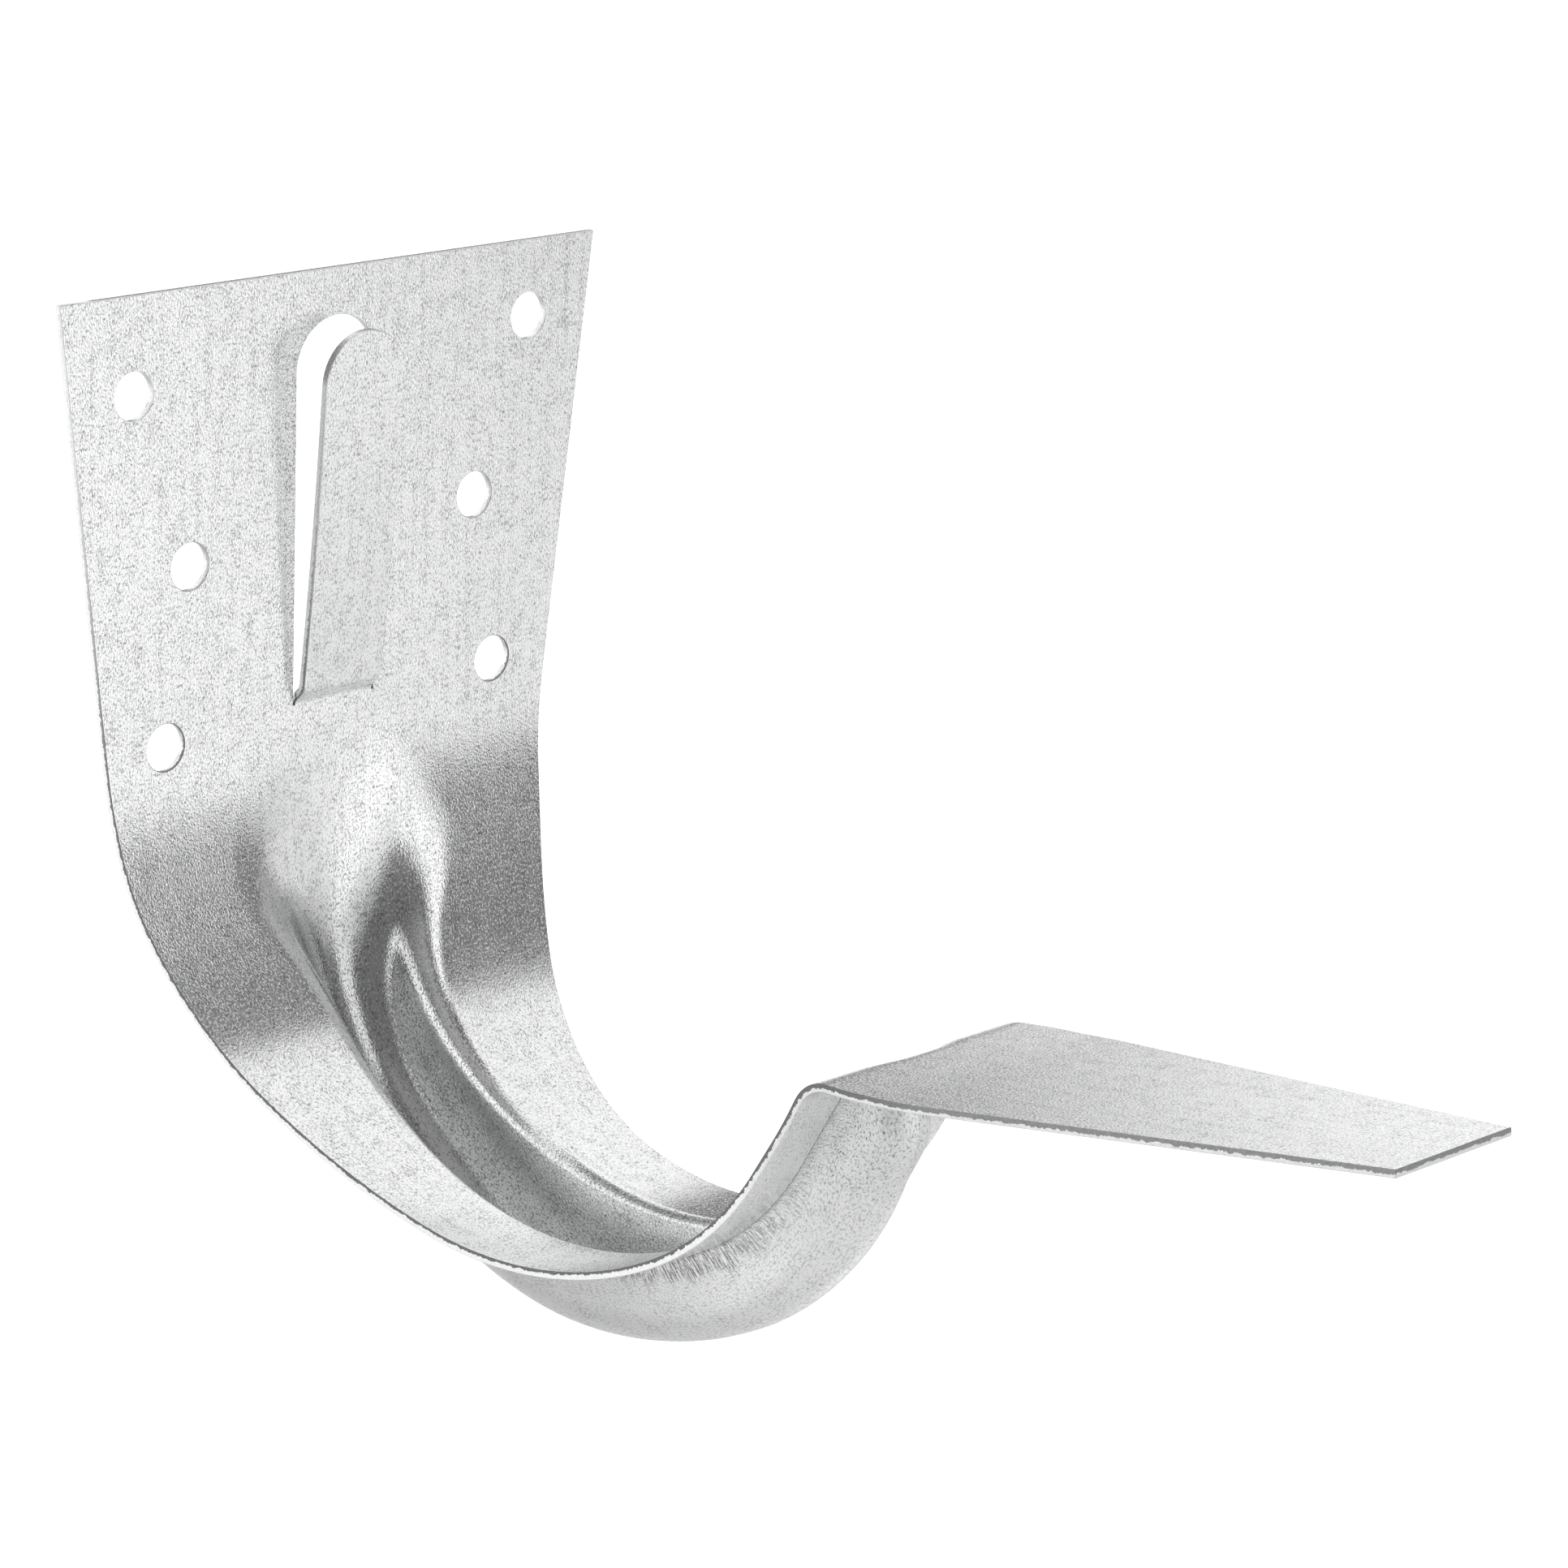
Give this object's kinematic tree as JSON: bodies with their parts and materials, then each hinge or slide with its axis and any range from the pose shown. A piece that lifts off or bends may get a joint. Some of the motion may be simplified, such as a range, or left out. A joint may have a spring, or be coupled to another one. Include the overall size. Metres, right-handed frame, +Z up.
{
  "type": "gutter bracket",
  "caption": "Pressed sheet bracket with a flat screw plate, a half-round hook stiffened by a deep bead, and a tapered fold-over strap.",
  "frame": {"origin": "on the wall face of the screw plate, on its centre line, 3 mm below its top edge", "axes": "+Y out of the wall face into the wall, so the gutter lies towards -Y; +Z up; X along the gutter, with the lower holes on -X"},
  "size_m": [0.0874, 0.177, 0.1238],
  "materials": {
    "galvanised_sheet": "galvanised, pale grey with a fine matt spangle"
  },
  "bodies": {
    "root": {"gutter_bracket": "galvanised_sheet"}
  },
  "joints": []
}
